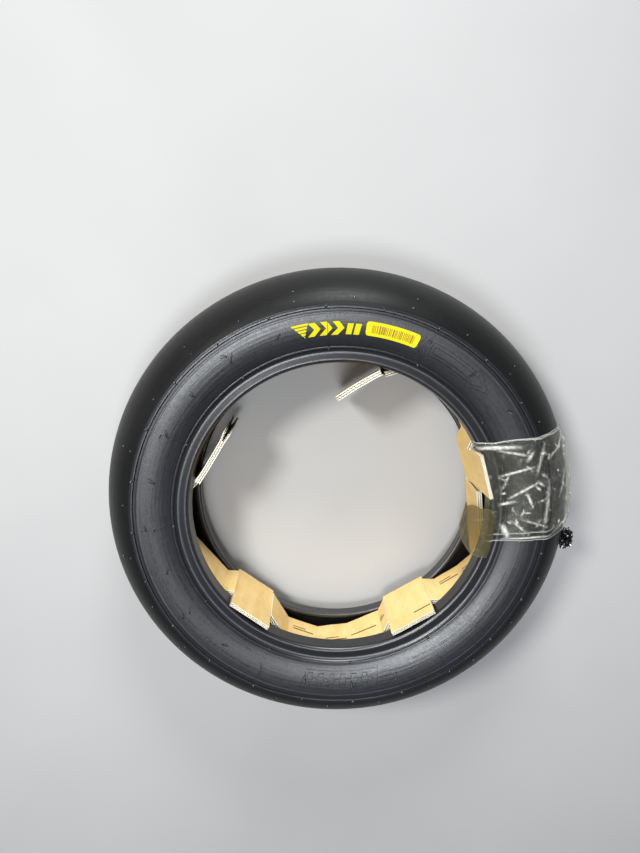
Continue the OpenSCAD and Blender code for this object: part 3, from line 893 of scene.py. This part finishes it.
LEFT_HINGE, LEFT_DIR = np.array([-140.7, 30.7]), 58.5
RIGHT_HINGE, RIGHT_DIR, RIGHT_LEAN = np.array([45.9, 136.0]), 211.0, 9.0
LONG = [LEFT_HINGE, polar(178, 165), polar(197, 168), polar(217, 155.5), polar(220.5, 146), polar(239.6, 143),
        polar(250.2, 163), polar(262.5, 167.5), polar(274.6, 162.5), polar(288.5, 154), polar(292.5, 143),
        polar(313, 145), polar(316.6, 155.5), polar(327.3, 166), polar(333.5, 171.5), polar(6.3, 144.2)]
TABS = {4: (-33.0, 48.0), 10: (-33.0, 47.0)}
SHORT = [polar(25, 144.3), polar(28.6, 154.5), polar(44.8, 164.5), polar(62, 165), RIGHT_HINGE]


def heading(p, q):
    return math.degrees(math.atan2(q[1] - p[1], q[0] - p[0]))


def run(pile, path, tabs, seed):
    n = len(path)
    head = [heading(path[i], path[i + 1]) for i in range(n - 1)]
    turn = [math.tan(math.radians((head[i + 1] - head[i] + 180) % 360 - 180) / 2) for i in range(n - 2)]
    for i in range(n - 1):
        lo, hi = tabs.get(i, (-24.5, 24.5))
        m0 = turn[i - 1] if i and i not in tabs else 0.0
        m1 = turn[i] if i < n - 2 and i not in tabs else 0.0
        length = float(np.linalg.norm(path[i + 1] - path[i]))
        board(pile, length, lo, hi, placer(path[i], head[i]), m0, m1, seed + i * 3.1, ragged=0.55,
              crush=0.74 if i in tabs else 1.0)


def strip():
    pile = Pile()
    run(pile, LONG, TABS, 1.0)
    run(pile, SHORT, {}, 50.0)
    a, b = LONG[-1], SHORT[0]
    board(pile, float(np.linalg.norm(b - a)), -24, 56, placer(a, heading(a, b), 4.0), seed=81.0, ragged=0.55,
          crush=0.6)
    pile.make("carton_strip", [face_mat, cut_edge_highlight_mat, flute_shade_mat], slot="carton",
              replaces=["spreader_strip"], angle=40)
    pile = Pile()
    board(pile, 62, -33, 48, placer(LEFT_HINGE, LEFT_DIR, 0, 1), seed=21.0, split=12.0, start=2.2, bow=-0.5)
    pile.make("carton_flap_left", [face_mat, cut_edge_highlight_mat, flute_shade_mat], body="left_flap", slot="carton",
              replaces=["spreader_flap_left"], angle=40)
    pile = Pile()
    board(pile, 52, -33, 48, placer(RIGHT_HINGE, RIGHT_DIR, RIGHT_LEAN, -1), seed=33.0, start=2.2,
          bow=0.9, tear=3.0)
    pile.make("carton_flap_right", [face_mat, cut_edge_highlight_mat, flute_shade_mat], body="right_flap", slot="carton",
              replaces=["spreader_flap_right"], angle=40)
    # the inner liner runs on across each movable crease, bent to the flap's rest turn
    for name, hinge, d0, d1, lean, out, body in (
            ("left", LEFT_HINGE, heading(LONG[1], LONG[0]), LEFT_DIR, 0, 1, "left_flap"),
            ("right", RIGHT_HINGE, heading(SHORT[3], SHORT[4]), RIGHT_DIR, RIGHT_LEAN, -1, "right_flap")):
        pile = Pile()
        xs = np.linspace(-3.2, 4.2, 17)
        zs = np.linspace(-24.3, 24.3, 9)
        one, two = placer(hinge, d0, 0, out), placer(hinge, d1, lean, out)
        rows = []
        for y in (-0.02, 0.5):
            for x in xs:
                k = float(smooth(x, -1.6, 1.6))
                p = np.column_stack([np.full(9, x), np.full(9, y), zs])
                rows.append(one(p) * (1 - k) + two(p) * k)
        v = np.concatenate(rows)
        pile.add(v, slab_faces(17, 9) if out > 0 else [q[::-1] for q in slab_faces(17, 9)], 0)
        o = pile.make("crease_liner_" + name, [face_mat], body=None, slot="carton", angle=40)
        u = (two(np.array([[1.0, 0, 0]])) - two(np.array([[0.0, 0, 0]])))[0]
        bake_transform(o)


strip()


def carton_print():
    """Unbroken dark lines on the inner faces of the links, in the place of print: no letters."""
    pile = Pile()

    def line(place, x0, x1, z, h, skin):
        q = np.array([[x0, z - h / 2], [x1, z - h / 2], [x1, z + h / 2], [x0, z + h / 2]])
        v = [place(np.column_stack([q[:, 0], np.full(4, y), q[:, 1]])) for y in (-0.30 + skin, -0.12 + skin)]
        pile.add(np.concatenate(v), [[0, 1, 2, 3], [7, 6, 5, 4], [1, 0, 4, 5], [2, 1, 5, 6],
                                     [3, 2, 6, 7], [0, 3, 7, 4]])

    for i, x0, x1, z, lines in ((7, 9, 33, 8.0, 2), (8, 3, 34, 5.0, 1), (9, 1, 10, 2.0, 2),
                                (10, 30, 50, 32.0, 1), (13, 2, 14, -5.0, 2), (12, 4, 27, -6.0, 2),
                                (6, 6, 30, -4.0, 2)):
        place = placer(LONG[i], heading(LONG[i], LONG[i + 1]))
        for k in range(lines):
            end = x0 + (x1 - x0) * (1.0 - 0.38 * k)
            line(place, x0, end, z - k * 4.6, 1.5 - 0.4 * k, BOARD_T * 0.26 if i in TABS else 0.0)
    pile.make("carton_print", dark_ink_mat, slot="carton", angle=0, soft=False)


carton_print()

# ---------------------------------------------------------------- film
def resample(points, n):
    p = np.asarray(points, float)
    d = np.concatenate([[0], np.cumsum(np.linalg.norm(np.diff(p, axis=0), axis=1))])
    s = np.linspace(0, d[-1], n)
    return np.column_stack([np.interp(s, d, p[:, k]) for k in range(p.shape[1])]), s


def crinkle(x, y, seed):
    """Sharp folds: ridged noise of two sizes, from 0 to about 1."""
    a = noise.noise((x * 0.045 + seed, y * 0.075, seed * 1.7))
    b = noise.noise((x * 0.13, y * 0.16 + seed, 3.3 + seed))
    c = noise.noise((x * 0.38 + seed, y * 0.33, 9.1))
    return 0.62 * (1 - abs(a) * 2.4) + 0.33 * (1 - abs(b) * 2.6) + 0.12 * (1 - abs(c) * 2.4)


def near(px, py, line):
    """How close (px, py) is to a fold line (x0, y0, x1, y1, width), from 1 on the line to 0."""
    x0, y0, x1, y1, w = line[:5]
    dx, dy = x1 - x0, y1 - y0
    t = max(0.0, min(1.0, ((px - x0) * dx + (py - y0) * dy) / (dx * dx + dy * dy)))
    d = math.hypot(px - x0 - t * dx, py - y0 - t * dy)
    return math.exp(-((d / w) ** 2)) * (0.35 + 0.65 * math.sin(math.pi * (0.08 + 0.84 * t)))


def film_sheet(name, section, half, centre, seed, lift, mat, folds=(), thick=0.06, replaces=(),
               ns=210, nw=96, taper=0.0):
    """A sheet swept along section, reaching half (mm) each way from azimuth centre, with folds in mm; folds,
    crinkle crests and edges are made milky white as painted glints and sheen.
    """
    sec, s = resample(section, ns)
    tan = np.gradient(sec, axis=0)
    tan /= np.linalg.norm(tan, axis=1, keepdims=True)
    nor = np.column_stack([-tan[:, 1], tan[:, 0]])
    ws = np.linspace(-1, 1, nw)
    ws = np.sign(ws) * (1 - (1 - np.abs(ws)) ** 1.25)
    top = np.zeros((ns, nw, 3))
    low = np.zeros((ns, nw, 3))
    haze_and_glint = np.zeros((ns, nw))
    for i in range(ns):
        edge0 = (1 + 0.03 * noise.noise((s[i] * 0.05, seed, 1.0))
                 + 0.012 * noise.noise((s[i] * 0.4, seed, 2.0)))
        edge1 = (1 + 0.035 * noise.noise((s[i] * 0.05, seed, 5.0))
                 + 0.012 * noise.noise((s[i] * 0.4, seed, 6.0)))
        for j, w in enumerate(ws):
            x = w * half * (edge0 if w < 0 else edge1)
            x -= (x + half) * taper * (1 - float(smooth(s[i], 0.1 * s[-1], 0.85 * s[-1])))
            c = crinkle(s[i], x, seed)
            h = lift(s[i], w) * (0.45 + 0.55 * max(c, -0.2))
            fold = milk_and_glint = 0.0
            # each fold lifts the sheet and adds a painted glint, broken up by noise, to the milkiness
            for line in folds:
                if line[0] - 12 < s[i] < line[2] + 12:
                    k = near(s[i], x, line)
                    fold += k * 0.9
                    glint_breakup = 0.3 + 1.6 * abs(noise.noise((s[i] * 0.9, x * 0.9, seed + line[0])))
                    milk_and_glint = max(milk_and_glint, min(1.0, line[5] * 1.25) * k ** 2 * min(1.0, glint_breakup))
            fade = min(1.0, (1 - abs(w)) * 9)
            h = 0.15 + h * (0.35 + 0.65 * fade) + fold
            r, z = sec[i] + nor[i] * h
            az = math.radians(centre) + x / max(r, 150.0)
            top[i, j] = (r * math.cos(az), r * math.sin(az), z)
            r2, z2 = sec[i] + nor[i] * (h - thick)
            low[i, j] = (r2 * math.cos(az), r2 * math.sin(az), z2)
            # a milky band along both long edges: the folded hem, whitened as a painted sheen of film seen
            # edge-on
            rim = max(0.0, 1 - (1 - abs(w)) * 45) * 0.4
            # milkiness kept per point: the edge band, the painted fold glints and painted glints on the
            # highest crinkles
            haze_and_glint[i, j] = max(rim, milk_and_glint, 0.04 * max(0, c - 0.8) / 0.2)
    v = np.concatenate([top.reshape(-1, 3), low.reshape(-1, 3)])
    o = piece(name, v, slab_faces(ns, nw), mat, slot="clear_film", replaces=replaces, angle=60)
    a = o.data.attributes.new("haze_and_glint", "FLOAT", "POINT")
    a.data.foreach_set("value", np.concatenate([haze_and_glint.ravel()] * 2).astype(np.float32))
    return o


def over(d):
    """The way round the outside of the section at distance d, from the upper bead to the lower one."""
    ch = [(152.2, 30), (152.4, 38), (153.6, 43.2 + d), (156.8, 44.9 + d), (161.5, 45.4 + d),
          (166.8, 48.2 + d), (168.4, 48.4 + d)]
    ch += [(r, float(side_z(r)) + 0.5 + d) for r in np.linspace(174, 203.5, 7)]
    ch += [(205.6, 57.5 + d), (209.4, 57.4 + d)]
    ch += [(ARCH_R + (ARCH_A + d) * math.cos(p), (ARCH_B + d) * math.sin(p))
           for p in np.linspace(EDGE_PHI - 0.08, 0, 14)]
    return ch + [(r, -z) for r, z in ch[-2::-1]]


def across(r0):
    """The way across the opening, from the lower bead up to the upper one."""
    low = [(159.5, -45.2), (156.0, -45.6), (152.6, -45.4), (r0 + 9.4, -42.0), (r0 + 8.6, -36),
           (r0 + 6.0, -22), (r0 + 2.0, -4)]
    return low + [(r0 + 0.3, 8), (r0, 22), (r0 + 0.6, 36), (r0 + 2.5, 43.5), (152.0, 45.6),
                  (156.0, 45.6), (159.5, 45.2)]


def outer_lift(s, w):
    return 1.0 + 3.4 * math.exp(-(((s - 137) / 52) ** 2))


# fold lines: start and end along and across the sheet in mm, then width, then the strength of its painted
# glint
FOLDS = [(11, 48, 52, 46, 2.3, 0.95), (30, 44, 58, 36, 1.5, 0.55), (25, 16, 60, 24, 1.1, 0.9),
         (31, -8, 62, 8, 1.2, 0.9), (22, -14, 38, -11, 1.4, 0.8), (49, -2, 55, -19, 1.0, 0.7),
         (26, 2, 36, 20, 0.8, 0.5), (27, -36, 34, -49, 2.6, 0.95), (36, -32, 50, -44, 1.1, 0.6),
         (44, -30, 70, -40, 1.0, 0.45), (28, -51, 76, -50, 1.0, 0.9), (54, 30, 62, 40, 1.4, 0.7),
         (66, -46, 71, 10, 1.3, 0.28), (60, 14, 74, 48, 1.2, 0.35), (84, -12, 98, 16, 1.6, 0.4),
         (74, 30, 110, 47, 1.4, 0.5), (78, -48, 118, -30, 1.5, 0.5), (108, -50, 112, 50, 3.0, 0.55),
         (128, -30, 150, 20, 1.5, 0.5),
         (160, 10, 200, -30, 1.4, 0.5), (190, -44, 240, 30, 1.5, 0.6), (214, 46, 262, 44, 2.0, 0.8)]
# short random folds, each with its painted glint
for _ in range(54):  # many short random folds
    fx, fy, fl, fa = rng.uniform(14, 118), rng.uniform(-48, 46), rng.uniform(2.5, 9), rng.uniform(-1.3, 1.3)
    dx, dy = fl * abs(math.cos(fa)), fl * math.sin(fa)
    FOLDS.append((fx, fy, fx + dx + 0.1, fy + dy, rng.uniform(0.45, 0.9), rng.uniform(0.25, 0.9)))


def film():
    film_sheet("film_outer", over(0.5), 53.5, 8.2, 3.0, outer_lift, film_mat, FOLDS, replaces=["film_wrap"])
    film_sheet("film_under", over(0.1), 50.0, 9.4, 8.0, lambda s, w: 0.5, under_film_mat, ns=130, nw=54)
    # the inner sheet, tinted as painted shade, with painted glints along its three folds
    film_sheet("film_inner", across(141.9), 26.0, -8.6, 14.0,
               lambda s, w: 1.4 * math.sin(math.pi * min(1, s / 115)), inner_film_shaded_mat,
               ((20, -10, 60, 12, 1.6, 0.35), (52, 8, 84, -16, 1.4, 0.35), (74, 4, 104, 16, 1.2, 0.4)),
               ns=110, nw=50, taper=0.45)


film()


def knot():
    """A crumpled lump of shiny film with folded lobes."""
    n, m = 46, 30
    axis = math.radians(351.0)
    out = []
    for i in range(n):
        for j in range(m):
            a, b = 2 * math.pi * i / n, math.pi * (j + 0.5) / m
            d = np.array([math.sin(b) * math.cos(a), math.sin(b) * math.sin(a), math.cos(b)])
            f1 = abs(noise.noise(tuple(d * 2.3 + 3.1)))
            f2 = abs(noise.noise(tuple(d * 5.2 + 8.4)))
            f3 = abs(noise.noise(tuple(d * 11.0 + 1.7)))
            r = 1.0 - 1.15 * f1 - 0.8 * f2 - 0.3 * f3 + 0.28
            out.append(d * r)
    p = np.array(out) * np.array([6.4, 11.5, 10.0])
    c, s = math.cos(axis), math.sin(axis)
    p = np.column_stack([p[:, 0] * c - p[:, 1] * s, p[:, 0] * s + p[:, 1] * c, p[:, 2]])
    p += np.array([245.4 * c, 245.4 * s, 20.5])
    f = [[i * m + j, i * m + j + 1, ((i + 1) % n) * m + j + 1, ((i + 1) % n) * m + j]
         for i in range(n) for j in range(m - 1)]
    f.append([i * m for i in range(n)])
    f.append([i * m + m - 1 for i in range(n)][::-1])
    piece("film_knot_lump", p, f, knot_mat, slot="black_film", replaces=["film_knot"], angle=0, soft=False)


knot()

# ---------------------------------------------------------------- materials of the hidden CAD layers
for names, mat in ((("tread_base", "shoulder_wedge_upper", "shoulder_wedge_lower",
                     "bead_filler_upper", "bead_filler_lower"), base_mat),
                   (("inner_liner",), inner_mat), (("belt_ply_outer", "belt_ply_inner"), belt_mat),
                   (("carcass_ply",), cord_mat), (("chafer_upper", "chafer_lower"), weave_mat),
                   (("bead_wires_upper", "bead_wires_lower"), wire_mat)):
    for name in names:
        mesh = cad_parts[name].data
        mesh.materials.clear()
        mesh.materials.append(mat)

# ---------------------------------------------------------------- stage, light, camera
def floor():
    n = Nodes("pale_floor")
    f = n.noise(3, 3)
    n.set(Base_Color=n.ramp(f, [(0.3, (0.50, 0.50, 0.495)), (0.7, (0.54, 0.54, 0.535))]), Roughness=0.9)
    mesh = bpy.data.meshes.new("floor")
    e = 6.0
    z = -FILM_Z * MM - 0.0008
    mesh.from_pydata([(-e, -e, z), (e, -e, z), (e, e, z), (-e, e, z)], [], [(0, 1, 2, 3)])
    mesh.materials.append(n.mat)
    o = bpy.data.objects.new("floor", mesh)
    scene.collection.objects.link(o)


def lamp(name, where, size, power, colour=(1, 1, 1)):
    data = bpy.data.lights.new(name, "AREA")
    data.shape, data.size, data.energy, data.color = "DISK", size, power, colour
    o = bpy.data.objects.new(name, data)
    scene.collection.objects.link(o)
    o.location = where
    o.rotation_euler = (-Vector(where)).to_track_quat("-Z", "Y").to_euler()
    o.visible_camera = False


floor()
lamp("key", (-0.85, 0.85, 1.6), 0.45, 27, (1.0, 0.985, 0.95))
lamp("sky", (-0.10, -0.075, 0.95), 0.30, 4.7, (0.93, 0.96, 1.0))
lamp("back", (0.15, 2.3, 0.95), 0.9, 46, (0.97, 0.98, 1.0))
world = bpy.data.worlds.new("world")
scene.world = world
world.use_nodes = True
wt = world.node_tree
dim = wt.nodes["Background"]
dim.inputs[0].default_value = (0.86, 0.90, 1.0, 1)
dim.inputs[1].default_value = 0.24
seen = wt.nodes.new("ShaderNodeBackground")  # what only the camera sees behind the floor
seen.inputs[0].default_value = (0.62, 0.64, 0.66, 1)
path, mix = wt.nodes.new("ShaderNodeLightPath"), wt.nodes.new("ShaderNodeMixShader")
wt.links.new(path.outputs["Is Camera Ray"], mix.inputs[0])
wt.links.new(dim.outputs[0], mix.inputs[1])
wt.links.new(seen.outputs[0], mix.inputs[2])
wt.links.new(mix.outputs[0], wt.nodes["World Output"].inputs[0])

cam_data = bpy.data.cameras.new("camera")
cam_data.sensor_width = 36.0
cam_data.lens = 27.03
cam = bpy.data.objects.new("camera", cam_data)
scene.collection.objects.link(cam)
cam.location = (-0.03066, 0.2294, 0.6569)
cam.rotation_euler = (math.radians(-12.8), math.radians(-1.0), 0.0)
cam_data.clip_start, cam_data.clip_end = 0.02, 30
scene.camera = cam
scene.view_settings.view_transform = "Standard"
